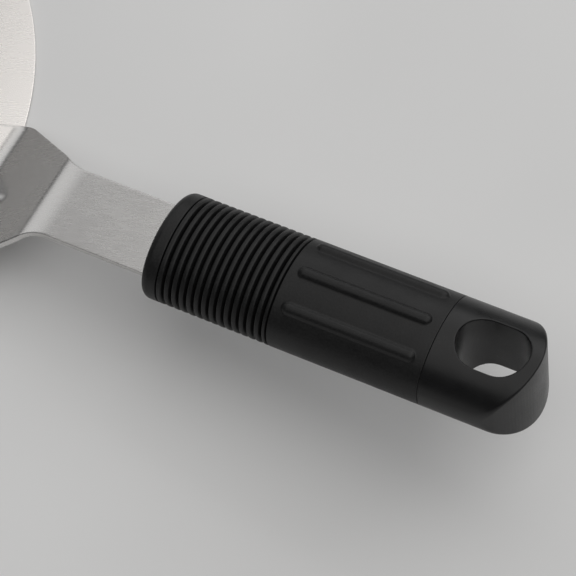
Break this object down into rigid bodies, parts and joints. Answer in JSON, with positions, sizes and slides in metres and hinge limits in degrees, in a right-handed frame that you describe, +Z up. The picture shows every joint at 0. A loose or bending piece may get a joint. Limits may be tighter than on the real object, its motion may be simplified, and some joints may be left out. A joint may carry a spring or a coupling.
{
  "type": "pizza server",
  "caption": "Round flat steel pizza lifter: a plate with a cranked, flared neck welded on top and a black soft-grip handle with ribs, finger bars and a hanging hole.",
  "frame": {"origin": "centre of the round plate's underside, on the surface that the plate rests on", "axes": "+X from the plate's centre towards the handle's end, +Z up out of the plate's top face, +Y across the handle"},
  "size_m": [0.418, 0.228, 0.0547],
  "materials": {
    "plate_steel": "fine brushed stainless, lightly polished edge",
    "neck_steel": "satin brushed stainless",
    "hard_black": "semi-gloss moulded polypropylene",
    "soft_black": "soft matte moulded elastomer with a fine speckled texture"
  },
  "bodies": {
    "root": {"blade_plate": "plate_steel", "neck_tang": "neck_steel", "handle_core": "hard_black", "grip_sleeve": "soft_black"}
  },
  "joints": []
}
